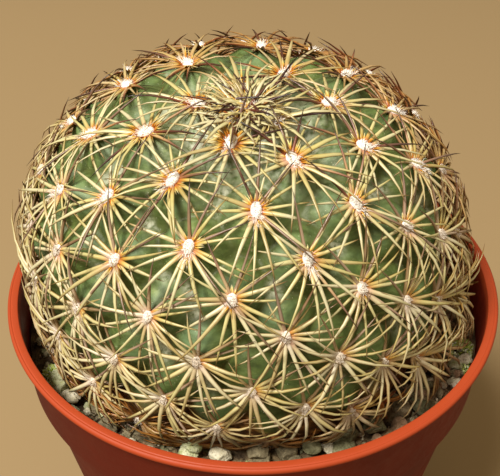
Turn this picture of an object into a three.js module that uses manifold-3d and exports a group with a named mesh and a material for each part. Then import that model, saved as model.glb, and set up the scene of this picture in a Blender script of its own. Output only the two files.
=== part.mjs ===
// A potted round cactus: a squat spiny globe, its tubercles in left-handed spirals, that stands
// in gritty soil in a small plastic nursery pot. Millimetres, +Z up, origin at the middle of the
// pot's base. Azimuths are in degrees from the front (-Y) towards +X.
import * as THREE from "three";
import { ConvexGeometry } from "three/addons/geometries/ConvexGeometry.js";
import { mergeVertices } from "three/addons/utils/BufferGeometryUtils.js";
import Module from "manifold-3d";

// Driving dimensions of the pot
const RIM_RADIUS = 50;
const POT_HEIGHT = 80;
const WALL = 1;
const RIM_WIDTH = 2.1; // flat top of the rim, from the inner wall to the outer edge
const RIM_LIP = 1.2; // thickness of the rim
const COLLAR_HEIGHT = 15.5; // from the rim's top down to the step
const COLLAR_FOOT_RADIUS = 48.3;
const STEP_RADIUS = 46.6; // the tapered body just under the step
const BASE_RADIUS = 38;
const BASE_ROUNDING = 1.5;
const DRAIN_HOLES = 8;
const DRAIN_RADIUS = 3.5;
const DRAIN_RING_RADIUS = 27;

// Driving dimensions of the soil
const SOIL_DEPTH_BELOW_RIM = 10;
const SOIL_LUMP = 0.7; // height of the lumps in its surface
const CLEARANCE = 0.35; // between touching pieces

// Driving dimensions of the plant
const PLANT = {
  x: -1.9, // it stands a little off the pot's axis
  y: -1,
  equatorAboveRim: 6,
  radius: 40.5, // at the areoles
  crownHeight: 37.5, // equator to crown
  footDepth: 36, // equator to the bottom of the foot
  crownFlatness: 2.4, // 2 is an ellipse, more is flatter
  leanRight: -2.1, // degrees
  leanForward: 3.3,
};

// The areoles sit on one left-handed spiral, each a golden angle on from the last. The nth one has
// first * (n + start) ** growth of skin above it, in mm2; the young ones, numbered below 0, crowd
// towards the crown, each with a part of the area of the one outside it.
const SPIRAL = { divergence: -137.545, azimuth: 270.8, first: 188, start: 0.86, growth: 0.898 };
const YOUNG_AREOLES = 3;
const CROWDING = 0.52;
const VALLEY_DEPTH = 3.6;
const TUBERCLE_REACH = 7.2; // from an areole to the valley around it
const AREOLE_BUMP = 0.8;
const SKIN_POINTS = 1100;
const LOWEST_AREOLE = 5; // above the soil
const GOLDEN_ANGLE = 137.508;

// Driving dimensions of the spines
const RADIAL_SPINES = 5;
const SPINE_LENGTH = 13.5;
const SPINE_RADIUS = 0.42;
const YOUNG_SPINE = 0.6; // length of the spines of a young areole, as a part of a grown one's
const RADIAL_LIFT = 7; // degrees off the skin
const CENTRAL_LIFT = 16;
const CENTRAL_SPREAD = 0.8; // radians, about the way to the crown
const SPINE_ABOVE_SOIL = 4.5;
const SPINE_FROM_WALL = 1.5;

// Stones placed as they lie in view: [kind, azimuth, distance from the pot's axis, length].
const STONES_IN_FRONT = [
  ["pumice", -61, 43.2, 5.4],
  ["pumice", -54.5, 44.6, 3.8],
  ["pumice", -49, 44.8, 3],
  ["grit", -39.5, 42.4, 5],
  ["pumice", -30.5, 43, 3.2],
  ["pumice", -25.5, 43, 2.8],
  ["pumice", -16, 41.6, 4.4],
  ["pumice", -8, 42, 4.8],
  ["pumice", -2, 44.6, 2],
  ["grit", 2, 41, 4.4],
  ["grit", 10, 41.4, 4.2],
  ["pumice", 15.5, 43.8, 2.6],
  ["grit", 23, 41.6, 6.2],
  ["grit", 31.5, 43, 4.2],
  ["grit", 39, 43, 4.8],
  ["grit", 48.5, 43.2, 5.2],
  ["grit", 55.5, 43.6, 3],
  ["pumice", 60, 45, 2.8],
  ["pumice", 67, 44.2, 4.2],
  ["pumice", 74, 44.4, 4],
  ["grit", 88, 44.4, 4.4],
];
const STONES_BEHIND = 11; // spread over the half of the soil that the plant hides
const STONE_CORNERS = 12;
const STONE_RISE = 0.12; // height of a stone's middle over the soil, as a part of its length

const DEGREE = Math.PI / 180;
const SEGMENTS = 48;
const SNAP = 0.002; // grid that the corners of a joined solid lie on
const soilLevel = POT_HEIGHT - SOIL_DEPTH_BELOW_RIM;
const innerRimRadius = RIM_RADIUS - RIM_WIDTH;

const wasm = await Module();
wasm.setup();

// ---- helpers ---------------------------------------------------------------------------

function seededRandom(seed) {
  let state = seed >>> 0;
  return () => {
    state = (state + 0x6d2b79f5) >>> 0;
    let t = state;
    t = Math.imul(t ^ (t >>> 15), t | 1);
    t ^= t + Math.imul(t ^ (t >>> 7), t | 61);
    return ((t ^ (t >>> 14)) >>> 0) / 4294967296;
  };
}

function solidOf(geometry) {
  const bare = geometry.clone();
  bare.deleteAttribute("normal");
  bare.deleteAttribute("uv");
  const merged = mergeVertices(bare, 1e-4);
  return new wasm.Manifold(
    new wasm.Mesh({
      numProp: 3,
      vertProperties: merged.attributes.position.array,
      triVerts: new Uint32Array(merged.index.array),
    }),
  );
}

// The solid's surface with its corners on a fine grid, so that slivers left by a join vanish.
function snapped(solid) {
  const { vertProperties, triVerts } = solid.getMesh();
  const onGrid = vertProperties.map((v) => Math.round(v / SNAP) * SNAP);
  const merged = mergeVertices(
    new THREE.BufferGeometry()
      .setAttribute("position", new THREE.BufferAttribute(onGrid, 3))
      .setIndex(new THREE.BufferAttribute(triVerts, 1)),
    SNAP / 4,
  );
  const kept = [];
  for (let i = 0; i < merged.index.count; i += 3) {
    const [p, q, r] = merged.index.array.slice(i, i + 3);
    if (p !== q && q !== r && r !== p) kept.push(p, q, r);
  }
  return merged.setIndex(kept);
}

function meshOf(name, solid, material) {
  const geometry = snapped(solid);
  geometry.computeVertexNormals();
  const mesh = new THREE.Mesh(geometry, material);
  mesh.name = name;
  return mesh;
}

// A profile of [radius, height] pairs from the bottom of the axis to its top, turned about +Z.
function turned(profile, segments = SEGMENTS) {
  const points = profile.map(([r, z]) => new THREE.Vector2(r, z));
  return new THREE.LatheGeometry(points, segments).rotateX(Math.PI / 2);
}

function polar(azimuth, radius, z) {
  const a = azimuth * DEGREE;
  return new THREE.Vector3(radius * Math.sin(a), -radius * Math.cos(a), z);
}

// ---- pot -------------------------------------------------------------------------------

const collarFootZ = POT_HEIGHT - COLLAR_HEIGHT;
const collarTopRadius = innerRimRadius + WALL;
const ledgeZ = collarFootZ + WALL;
const lowerWallSlope = (STEP_RADIUS - BASE_RADIUS) / collarFootZ;

function potProfile() {
  const round = RIM_LIP / 2;
  return [
    [0, 0],
    [BASE_RADIUS - BASE_ROUNDING, 0],
    [BASE_RADIUS - 0.3 * BASE_ROUNDING, 0.3 * BASE_ROUNDING],
    [BASE_RADIUS, BASE_ROUNDING],
    [STEP_RADIUS, collarFootZ],
    [COLLAR_FOOT_RADIUS, collarFootZ],
    [collarTopRadius, POT_HEIGHT - RIM_LIP],
    [RIM_RADIUS - round / 2, POT_HEIGHT - RIM_LIP],
    [RIM_RADIUS, POT_HEIGHT - round],
    [RIM_RADIUS - round / 2, POT_HEIGHT],
    [innerRimRadius + 0.3, POT_HEIGHT],
    [innerRimRadius, POT_HEIGHT - 0.3],
    [COLLAR_FOOT_RADIUS - WALL, ledgeZ],
    [STEP_RADIUS - WALL, ledgeZ],
    [BASE_RADIUS + lowerWallSlope * WALL - WALL, WALL],
    [0, WALL],
  ];
}

function makePot() {
  let pot = solidOf(turned(potProfile()));
  for (let i = 0; i < DRAIN_HOLES; i++) {
    const hole = new THREE.CylinderGeometry(DRAIN_RADIUS, DRAIN_RADIUS, 4 * WALL, 12);
    const place = polar((360 / DRAIN_HOLES) * (i + 0.5), DRAIN_RING_RADIUS, 0);
    hole.rotateX(Math.PI / 2).translate(place.x, place.y, 0);
    pot = pot.subtract(solidOf(hole));
  }
  return pot;
}

// ---- plant: where its surface and its areoles are --------------------------------------

const equatorZ = POT_HEIGHT + PLANT.equatorAboveRim;
const plantPlace = new THREE.Matrix4()
  .makeTranslation(PLANT.x, PLANT.y, equatorZ)
  .multiply(new THREE.Matrix4().makeRotationY(PLANT.leanRight * DEGREE))
  .multiply(new THREE.Matrix4().makeRotationX(PLANT.leanForward * DEGREE));

// The plant's outline at an angle from the crown (0) to the foot (PI), heights from its equator.
function outlineAt(angle) {
  const power = angle < Math.PI / 2 ? 2 / PLANT.crownFlatness : 1;
  const height = angle < Math.PI / 2 ? PLANT.crownHeight : PLANT.footDepth;
  const c = Math.cos(angle);
  return {
    r: PLANT.radius * Math.max(0, Math.sin(angle)) ** power,
    z: height * Math.sign(c) * Math.abs(c) ** power,
  };
}

// Running surface area from the crown down, so that points can be spread evenly over the skin.
const OUTLINE_STEPS = 400;
const outline = [];
for (let i = 0, area = 0; i <= OUTLINE_STEPS; i++) {
  const point = outlineAt((Math.PI * i) / OUTLINE_STEPS);
  if (i > 0) {
    const last = outline[i - 1];
    area += Math.PI * (point.r + last.r) * Math.hypot(point.r - last.r, point.z - last.z);
  }
  outline.push({ ...point, area });
}
const skinArea = outline[OUTLINE_STEPS].area;

// A point on the skin and its outward normal, at a given area from the crown and azimuth.
function skinAt(area, azimuth) {
  let i = outline.findIndex((p) => p.area > area);
  if (i < 1) i = area > 0 ? OUTLINE_STEPS : 1;
  const [a, b] = [outline[i - 1], outline[i]];
  const t = (area - a.area) / (b.area - a.area);
  const tangent = new THREE.Vector2(b.r - a.r, b.z - a.z).normalize();
  const point = polar(azimuth, a.r + t * (b.r - a.r), a.z + t * (b.z - a.z));
  const normal = polar(azimuth, -tangent.y, tangent.x);
  return { point, normal };
}

function skinAbove(n) {
  if (n < 0) return skinAbove(0) * CROWDING ** -n;
  return SPIRAL.first * (n + SPIRAL.start) ** SPIRAL.growth;
}

function makeAreoles() {
  const areoles = [];
  for (let n = -YOUNG_AREOLES; skinAbove(n) < skinArea; n++) {
    const azimuth = SPIRAL.azimuth + SPIRAL.divergence * n;
    const { point, normal } = skinAt(skinAbove(n), azimuth);
    const height = point.clone().applyMatrix4(plantPlace).z;
    if (height < soilLevel + LOWEST_AREOLE) break;
    areoles.push({ n, area: skinAbove(n), azimuth, point, normal });
  }
  return areoles;
}
const areoles = makeAreoles();

// ---- plant: skin with its tubercles ----------------------------------------------------

// Depth of the skin under the areoles' surface: a low cone round each areole, and no relief
// on the foot.
function reliefAt(point) {
  const nearest = Math.min(...areoles.map((a) => a.point.distanceTo(point)));
  if (nearest < 0.5) return AREOLE_BUMP;
  const toValley = Math.min(1, nearest / TUBERCLE_REACH);
  const aboveSoil = point.clone().applyMatrix4(plantPlace).z - soilLevel;
  const fade = THREE.MathUtils.smoothstep(aboveSoil, 2, LOWEST_AREOLE + 4);
  return -VALLEY_DEPTH * toValley ** 1.3 * fade;
}

// Points spread over a unit ball by equal areas, the areoles among them; their hull's faces are
// the skin's faces once each point is moved to its place on the plant.
function makeSkin() {
  const ballPoint = (area, azimuth) => {
    const z = 1 - (2 * area) / skinArea;
    return polar(azimuth, Math.sqrt(Math.max(0, 1 - z * z)), z);
  };
  const points = areoles.map((a) => ballPoint(a.area, a.azimuth));
  const spacing = Math.sqrt((4 * Math.PI) / SKIN_POINTS);
  for (let i = 0; i < SKIN_POINTS; i++) {
    const candidate = ballPoint((skinArea * (i + 0.5)) / SKIN_POINTS, i * GOLDEN_ANGLE);
    const crowded = points.slice(0, areoles.length).some((p) => p.distanceTo(candidate) < 0.6 * spacing);
    if (!crowded) points.push(candidate);
  }
  const skin = new ConvexGeometry(points);
  const place = skin.attributes.position;
  const vertex = new THREE.Vector3();
  for (let i = 0; i < place.count; i++) {
    vertex.fromBufferAttribute(place, i);
    const azimuth = Math.atan2(vertex.x, -vertex.y) / DEGREE;
    const area = (skinArea * (1 - THREE.MathUtils.clamp(vertex.z, -1, 1))) / 2;
    const { point, normal } = skinAt(area, azimuth);
    point.addScaledVector(normal, reliefAt(point));
    place.setXYZ(i, ...point);
  }
  return skin;
}

// ---- plant: spines ---------------------------------------------------------------------

// A straight three-sided needle from a root to a tip.
function needle(root, tip, radius) {
  const along = new THREE.Vector3().subVectors(tip, root);
  const length = along.length();
  const turn = new THREE.Quaternion().setFromUnitVectors(
    new THREE.Vector3(0, 1, 0),
    along.normalize(),
  );
  return new THREE.ConeGeometry(radius, length, 3)
    .translate(0, length / 2, 0)
    .applyQuaternion(turn)
    .translate(...root);
}

// Low spines are bent up over the gravel, and those by the pot's wall are bent in from it.
function bentClear(tip) {
  tip.z = Math.max(tip.z, soilLevel + SPINE_ABOVE_SOIL);
  const squeeze = Math.min(1, (innerRimRadius - SPINE_FROM_WALL) / Math.hypot(tip.x, tip.y));
  return tip.set(tip.x * squeeze, tip.y * squeeze, tip.z);
}

// One spine of an areole: its turn about the areole is counted from the way to the crown, and its
// lift from the skin. The root is sunk in the tubercle.
function makeSpine({ point, normal, azimuth }, turn, lift, length) {
  const sideways = polar(azimuth + 90, 1, 0);
  const crownward = new THREE.Vector3().crossVectors(normal, sideways);
  const out = crownward
    .multiplyScalar(Math.cos(turn))
    .addScaledVector(sideways, Math.sin(turn))
    .multiplyScalar(Math.cos(lift))
    .addScaledVector(normal, Math.sin(lift));
  const root = point.clone().addScaledVector(normal, -1.1).addScaledVector(out, 0.6);
  const tip = point.clone().addScaledVector(out, length);
  return needle(
    root.applyMatrix4(plantPlace),
    bentClear(tip.applyMatrix4(plantPlace)),
    SPINE_RADIUS,
  );
}

function makeSpines() {
  const random = seededRandom(8);
  const spines = [];
  for (const areole of areoles) {
    const length = SPINE_LENGTH * (areole.n < 0 ? YOUNG_SPINE : 1);
    const start = random() * 2 * Math.PI;
    for (let i = 0; i < RADIAL_SPINES; i++) {
      const turn = start + ((i + 0.4 * (random() - 0.5)) / RADIAL_SPINES) * 2 * Math.PI;
      const lift = (RADIAL_LIFT + 4 * random()) * DEGREE;
      spines.push(makeSpine(areole, turn, lift, length * (0.88 + 0.2 * random())));
    }
    const turn = CENTRAL_SPREAD * (random() - 0.5);
    spines.push(makeSpine(areole, turn, CENTRAL_LIFT * DEGREE, 1.08 * length));
  }
  return spines;
}

function makeCactus() {
  const skin = solidOf(makeSkin().applyMatrix4(plantPlace));
  return makeSpines().reduce((plant, spine) => plant.add(solidOf(spine)), skin);
}

// ---- stones on the soil ----------------------------------------------------------------

function makeStonePlan() {
  const random = seededRandom(21);
  const plan = STONES_IN_FRONT.map(([kind, azimuth, reach, size]) => ({
    kind,
    azimuth,
    reach,
    size,
  }));
  for (let i = 0; i < STONES_BEHIND; i++) {
    plan.push({
      kind: random() < 0.45 ? "pumice" : "grit",
      azimuth: 108 + ((i + 0.3 * random()) / STONES_BEHIND) * 180,
      reach: 41.5 + 2.5 * random(),
      size: 3 + 3 * random(),
    });
  }
  return plan;
}

// A stone is the hull of seeded points on a flattened ball, with its lower third in the soil.
// Grown all round by the clearance, it is also the hollow that it lies in.
function stoneSolid({ azimuth, reach, size }, seed, grow) {
  const random = seededRandom(seed);
  const corners = [];
  for (let k = 0; k < STONE_CORNERS; k++) {
    const z = 1 - (2 * (k + 0.5)) / STONE_CORNERS;
    const corner = polar(k * GOLDEN_ANGLE, Math.sqrt(1 - z * z), z);
    corners.push(corner.multiplyScalar(0.92 + 0.16 * random()));
  }
  const half = size / 2;
  const place = polar(azimuth, reach, 0);
  const stone = new ConvexGeometry(corners)
    .scale(half + grow, 0.8 * half + grow, 0.7 * half + grow)
    .rotateZ(2 * Math.PI * random())
    .translate(place.x, place.y, soilHeightAt(place.x, place.y) + STONE_RISE * size);
  return solidOf(stone);
}

const stonePlan = makeStonePlan();

// ---- soil ------------------------------------------------------------------------------

// Height of the soil's lumpy surface.
function soilHeightAt(x, y) {
  const across = Math.sin(0.9 * x + 1.3 * Math.sin(0.5 * y));
  const along = Math.cos(0.8 * y - 0.7 * Math.sin(0.6 * x));
  return soilLevel + SOIL_LUMP * across * along;
}

function soilProfile() {
  const collarFootInside = COLLAR_FOOT_RADIUS - WALL;
  const soilRadius =
    THREE.MathUtils.lerp(innerRimRadius, collarFootInside, SOIL_DEPTH_BELOW_RIM / COLLAR_HEIGHT) -
    CLEARANCE;
  const rings = [0, 1, 2, 3, 4].map((k) => [soilRadius - 3.5 * k, soilLevel]);
  return [
    [0, WALL + CLEARANCE],
    [BASE_RADIUS + lowerWallSlope * WALL - WALL - CLEARANCE, WALL + CLEARANCE],
    [STEP_RADIUS - WALL - CLEARANCE, ledgeZ],
    [STEP_RADIUS - WALL - CLEARANCE, ledgeZ + CLEARANCE],
    [collarFootInside - CLEARANCE, ledgeZ + CLEARANCE],
    ...rings,
    [0, soilLevel],
  ];
}

// The hollow under the plant's foot.
function makeSocket() {
  const underside = outline.filter((p, i) => p.z < 0 && p.r > 1 && i % 20 === 0).reverse();
  const profile = [
    [0, -PLANT.footDepth - CLEARANCE],
    ...underside.map((p) => [p.r + 1.4 * CLEARANCE, p.z - CLEARANCE]),
    [0, underside.at(-1).z - CLEARANCE],
  ];
  return turned(profile).applyMatrix4(plantPlace);
}

function makeSoil() {
  const block = turned(soilProfile());
  const place = block.attributes.position;
  for (let i = 0; i < place.count; i++) {
    const onTop = place.getZ(i) > soilLevel - 0.01;
    if (onTop) place.setZ(i, soilHeightAt(place.getX(i), place.getY(i)));
  }
  let soil = solidOf(block).subtract(solidOf(makeSocket()));
  stonePlan.forEach((stone, seed) => {
    soil = soil.subtract(stoneSolid(stone, seed, CLEARANCE));
  });
  return soil;
}

// ---- group -----------------------------------------------------------------------------

const potMaterial = new THREE.MeshStandardMaterial({ color: 0xb5472a, roughness: 0.5 });
const soilMaterial = new THREE.MeshStandardMaterial({ color: 0x3c332a, roughness: 0.95 });
const stoneMaterials = {
  pumice: new THREE.MeshStandardMaterial({ color: 0xd8d2c0, roughness: 0.9 }),
  grit: new THREE.MeshStandardMaterial({ color: 0x7c7265, roughness: 0.8 }),
};
const cactusMaterial = new THREE.MeshStandardMaterial({ color: 0x4a7048, roughness: 0.6 });

const plantInPot = new THREE.Group();
plantInPot.add(meshOf("pot", makePot(), potMaterial));
plantInPot.add(meshOf("soil", makeSoil(), soilMaterial));
plantInPot.add(meshOf("cactus", makeCactus(), cactusMaterial));
const counts = { pumice: 0, grit: 0 };
stonePlan.forEach((stone, seed) => {
  const { kind } = stone;
  counts[kind] += 1;
  const name = kind + "_" + String(counts[kind]).padStart(2, "0");
  plantInPot.add(meshOf(name, stoneSolid(stone, seed, 0), stoneMaterials[kind]));
});

export default plantInPot;
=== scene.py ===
# A potted round cactus: a squat spiny globe in gritty soil, in a small plastic nursery pot.
import math

import bpy
import numpy as np
from mathutils import Matrix, Vector


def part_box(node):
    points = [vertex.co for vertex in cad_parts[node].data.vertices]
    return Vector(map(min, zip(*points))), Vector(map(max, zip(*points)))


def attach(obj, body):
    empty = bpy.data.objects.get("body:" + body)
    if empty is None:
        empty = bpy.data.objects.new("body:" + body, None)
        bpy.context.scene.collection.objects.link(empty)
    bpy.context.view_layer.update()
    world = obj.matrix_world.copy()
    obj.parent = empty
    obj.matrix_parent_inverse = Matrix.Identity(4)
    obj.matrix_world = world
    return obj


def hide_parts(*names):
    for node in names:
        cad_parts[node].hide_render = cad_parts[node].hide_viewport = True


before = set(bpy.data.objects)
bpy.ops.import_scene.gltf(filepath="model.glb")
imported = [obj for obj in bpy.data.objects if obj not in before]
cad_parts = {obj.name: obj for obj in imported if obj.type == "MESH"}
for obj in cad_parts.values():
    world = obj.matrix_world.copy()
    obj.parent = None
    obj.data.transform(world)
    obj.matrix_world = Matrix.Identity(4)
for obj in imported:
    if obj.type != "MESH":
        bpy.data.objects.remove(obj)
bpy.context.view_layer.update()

# ---- Camera, floor and light ----
# A close look down on the plant from the front. A plain tan floor, a small bright light from the
# upper left, a weak one from the right, and a warm surround that fills the shade.
MM = 0.001
POT_HEIGHT = 80
CAMERA_ELEVATION = math.radians(40.17)
CAMERA_TO_RIM = 168
IMAGE_WIDTH = 500
FOCAL_PIXELS = 804.9
RIM_CENTRE_FROM_MIDDLE = (3.0, 33.9)  # of the image, in its pixels, to the right and down
SENSOR = 36
FLOOR_SIZE = 6
LIGHTS = [
    # name, place and size in metres, power
    ("key_light", Vector((-0.52, -0.48, 1.3)), 0.4, 31),
    ("fill_light", Vector((0.9, -0.9, 0.7)), 1.0, 0.9),
]
LIT_POINT = Vector((0, 0, 0.08))
SURROUND = 0.48


def paint(code):
    """A colour written #rrggbb, in the linear numbers that a shader takes."""
    channels = [int(code[i : i + 2], 16) / 255 for i in (1, 3, 5)]
    return [c / 12.92 if c <= 0.04045 else ((c + 0.055) / 1.055) ** 2.4 for c in channels] + [1]


def add_node(tree, kind, inputs=(), **settings):
    """A shader node with its settings, its inputs set or linked."""
    made = tree.nodes.new("ShaderNode" + kind)
    for name, value in settings.items():
        setattr(made, name, value)
    for socket, value in dict(inputs).items():
        if isinstance(value, bpy.types.NodeSocket):
            tree.links.new(value, made.inputs[socket])
        else:
            made.inputs[socket].default_value = value
    return made


def new_finish(name, roughness, specular):
    """A material with an empty finish: its node tree and its shader."""
    material = bpy.data.materials.new(name)
    material.use_nodes = True
    shader = material.node_tree.nodes["Principled BSDF"]
    shader.inputs["Roughness"].default_value = roughness
    shader.inputs["Specular IOR Level"].default_value = specular
    return material, material.node_tree, shader


camera_way = Vector((0, -math.cos(CAMERA_ELEVATION), math.sin(CAMERA_ELEVATION)))
bpy.ops.object.camera_add(
    location=(Vector((0, 0, POT_HEIGHT)) + camera_way * CAMERA_TO_RIM) * MM,
    rotation=(math.pi / 2 - CAMERA_ELEVATION, 0, 0),
)
camera = bpy.context.object
camera.data.sensor_width = SENSOR
camera.data.lens = SENSOR * FOCAL_PIXELS / IMAGE_WIDTH
camera.data.shift_x = -RIM_CENTRE_FROM_MIDDLE[0] / IMAGE_WIDTH
camera.data.shift_y = RIM_CENTRE_FROM_MIDDLE[1] / IMAGE_WIDTH
camera.data.clip_start = 0.01
bpy.context.scene.camera = camera

for name, place, size, power in LIGHTS:
    bpy.ops.object.light_add(type="AREA", location=place)
    light = bpy.context.object
    light.name = name
    light.rotation_euler = (place - LIT_POINT).to_track_quat("Z", "Y").to_euler()
    light.data.size = size
    light.data.energy = power
    light.data.color = paint("#fffaf2")[:3]

world = bpy.data.worlds.new("surround")
bpy.context.scene.world = world
world.use_nodes = True
background = world.node_tree.nodes["Background"]
background.inputs[0].default_value = paint("#f4deb8")
background.inputs[1].default_value = SURROUND
bpy.context.scene.view_settings.view_transform = "Standard"

bpy.ops.mesh.primitive_plane_add(size=FLOOR_SIZE, location=(0, 0, 0))
floor = bpy.context.object
floor.name = "floor"
floor_finish, tree, shader = new_finish("floor_finish", 0.9, 0.2)
seen = add_node(tree, "LightPath").outputs["Is Camera Ray"]
floor_colours = {0: seen, 6: paint("#6d5c44"), 7: paint("#97815e")}  # it throws back little light
floor_mix = add_node(tree, "Mix", floor_colours, data_type="RGBA")
tree.links.new(floor_mix.outputs[2], shader.inputs["Base Color"])
floor.data.materials.append(floor_finish)

# ---- Pot ----
# One thin shell of injection-moulded terracotta-coloured plastic: a flat rolled rim over a short
# collar, a step, a tapered body and a flat base with drain holes. Its outside is scuffed and dusty.
POT_SIDES = 192
POT_START = (36.5, 0)
POT_OUTSIDE = [(37.55, 0.45), (38.0, 1.5), (46.6, 64.5), (48.0, 64.5), (48.5, 78.8), (49.6, 78.8)]
POT_RIM = [(49.9, 79.0), (50.0, 79.3), (49.95, 79.65), (49.75, 79.9), (49.5, 80.0), (49.34, 79.9),
           (49.2, 79.92), (49.1, 80.0), (48.2, 80.0), (47.98, 79.9), (47.9, 79.7)]
POT_INSIDE = [(47.3, 65.5), (45.6, 65.5), (37.133, 1.0)]
DRAIN_HOLES = 8
DRAIN_RADIUS = 3.5
DRAIN_RING = 27
DRILL_LENGTH = 6
POT_EDGE = 0.18  # rounding of the moulding's edges


def start_ring(name, sides, radius, height):
    """A ring of edges about the pot's axis, in edit mode, from which a wall is drawn."""
    bpy.ops.object.select_all(action="DESELECT")
    bpy.ops.mesh.primitive_circle_add(
        vertices=sides, radius=radius * MM, location=(0, 0, height * MM), enter_editmode=True
    )
    bpy.context.object.name = name
    return bpy.context.object


def draw_wall(start, stations):
    """Extrudes the selected ring from station to station, each a radius and a height."""
    radius, height = start
    for next_radius, next_height in stations:
        rise = (0, 0, (next_height - height) * MM)
        bpy.ops.mesh.extrude_region_move(TRANSFORM_OT_translate={"value": rise})
        bpy.ops.transform.resize(value=(next_radius / radius, next_radius / radius, 1))
        radius, height = next_radius, next_height


def close_middle():
    """Closes the selected ring with a fan of faces about its middle."""
    bpy.ops.mesh.extrude_region_move(TRANSFORM_OT_translate={"value": (0, 0, 0)})
    bpy.ops.mesh.merge(type="CENTER")


def select_ring(piece, height):
    """Selects the corners at a height, and nothing else, in edit mode."""
    bpy.ops.mesh.select_all(action="DESELECT")
    bpy.ops.object.mode_set(mode="OBJECT")
    for vertex in piece.data.vertices:
        level = (piece.matrix_world @ vertex.co).z
        vertex.select = abs(level - height * MM) < 1e-6
    bpy.ops.object.mode_set(mode="EDIT")
    bpy.ops.mesh.select_mode(type="VERT")


def finish_shell(piece):
    """Leaves edit mode with the faces pointing out and the piece's place in its mesh."""
    bpy.ops.mesh.select_all(action="SELECT")
    bpy.ops.mesh.normals_make_consistent(inside=False)
    bpy.ops.object.mode_set(mode="OBJECT")
    bpy.ops.object.transform_apply(location=True, rotation=True, scale=True)
    return piece


def apply_modifier(piece, kind, **settings):
    """Adds a modifier with its settings and applies it."""
    modifier = piece.modifiers.new(kind.lower(), kind)
    for name, value in settings.items():
        setattr(modifier, name, value)
    bpy.context.view_layer.objects.active = piece
    bpy.ops.object.modifier_apply(modifier=modifier.name)


def shade_smooth_under(piece, degrees):
    """Shades the piece smooth, apart from edges sharper than an angle."""
    bpy.ops.object.select_all(action="DESELECT")
    piece.select_set(True)
    bpy.context.view_layer.objects.active = piece
    bpy.ops.object.shade_smooth_by_angle(angle=math.radians(degrees))


pot_shell = start_ring("pot_shell", POT_SIDES, *POT_START)
draw_wall(POT_START, POT_OUTSIDE + POT_RIM + POT_INSIDE)
close_middle()
select_ring(pot_shell, POT_START[1])
close_middle()
finish_shell(pot_shell)
for i in range(DRAIN_HOLES):
    turn = 2 * math.pi * (i + 0.5) / DRAIN_HOLES
    bpy.ops.mesh.primitive_cylinder_add(
        vertices=32, radius=DRAIN_RADIUS * MM, depth=DRILL_LENGTH * MM,
        location=(DRAIN_RING * MM * math.sin(turn), -DRAIN_RING * MM * math.cos(turn), 0),
    )
    drill = bpy.context.object
    apply_modifier(pot_shell, "BOOLEAN", operation="DIFFERENCE", object=drill, solver="EXACT")
    bpy.data.objects.remove(drill)
apply_modifier(
    pot_shell, "BEVEL", width=POT_EDGE * MM, segments=2, limit_method="ANGLE",
    angle_limit=math.radians(40), harden_normals=False,
)
shade_smooth_under(pot_shell, 35)


def blended(tree, share, first, second, how="MIX"):
    """One colour laid over another: the colour that comes out."""
    inputs = {0: share, 6: first, 7: second}
    return add_node(tree, "Mix", inputs, data_type="RGBA", blend_type=how).outputs[2]


def graded(tree, value, stops):
    """A colour that goes from stop to stop as the value goes from 0 to 1."""
    ramp = add_node(tree, "ValToRGB", {0: value})
    elements = ramp.color_ramp.elements
    first, *between, last = stops.items()
    for element, (place, code) in zip(elements, (first, last)):
        element.position, element.color = place, paint(code)
    for place, code in between:
        elements.new(place).color = paint(code)
    return ramp.outputs[0]


def place_on(tree):
    """Where each point of the piece is, as a shader socket."""
    return add_node(tree, "TexCoord").outputs["Object"]


def noise(tree, scale, detail, roughness=0.5, place=None):
    """Cloudy noise over the piece."""
    place = place_on(tree) if place is None else place
    inputs = {"Vector": place, "Scale": scale, "Detail": detail, "Roughness": roughness}
    return add_node(tree, "TexNoise", inputs).outputs[0]


def spots(tree, scale):
    """How far each point is from the nearest of many scattered spots."""
    inputs = {"Vector": place_on(tree), "Scale": scale}
    return add_node(tree, "TexVoronoi", inputs).outputs["Distance"]


def bumped(tree, height, distance, strength, **under):
    """A normal roughened by a height, over another Normal where one is given."""
    inputs = {"Height": height, "Distance": distance, "Strength": strength, **under}
    return add_node(tree, "Bump", inputs).outputs[0]


def make_surface_grain():
    """The shared fine grain: a mask that varies over the surface, and a normal roughened by it."""
    group = bpy.data.node_groups.new("surface_grain", "ShaderNodeTree")
    for name, start in (("Fineness", 200.0), ("Height", 0.0002), ("Strength", 0.5)):
        socket = group.interface.new_socket(name, in_out="INPUT", socket_type="NodeSocketFloat")
        socket.default_value = start
    group.interface.new_socket("Mask", in_out="OUTPUT", socket_type="NodeSocketFloat")
    group.interface.new_socket("Normal", in_out="OUTPUT", socket_type="NodeSocketVector")
    given = group.nodes.new("NodeGroupInput").outputs
    result = group.nodes.new("NodeGroupOutput").inputs
    grain = noise(group, given["Fineness"], 6, 0.62)
    group.links.new(grain, result["Mask"])
    group.links.new(bumped(group, grain, given["Height"], given["Strength"]), result["Normal"])
    return group


surface_grain = make_surface_grain()


def grained(tree, fineness, height, strength):
    """Places the shared grain in a material: its Mask and its Normal."""
    inputs = {"Fineness": fineness, "Height": height, "Strength": strength}
    return add_node(tree, "Group", inputs, node_tree=surface_grain).outputs


def masked(tree, value, low, high):
    """The value stretched so that low becomes 0 and high becomes 1."""
    inputs = {"Value": value, "From Min": low, "From Max": high}
    return add_node(tree, "MapRange", inputs).outputs[0]


def lay_on(tree, shader, colour, normal):
    """Leads a finish's colour and normal into its shader."""
    tree.links.new(colour, shader.inputs["Base Color"])
    tree.links.new(normal, shader.inputs["Normal"])


def set_in_place(piece, finish, node=None):
    """Gives a piece its finish and body. It replaces the node that is named, if any."""
    piece.data.materials.append(finish)
    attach(piece, "root")
    if node:
        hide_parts(node)


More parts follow.
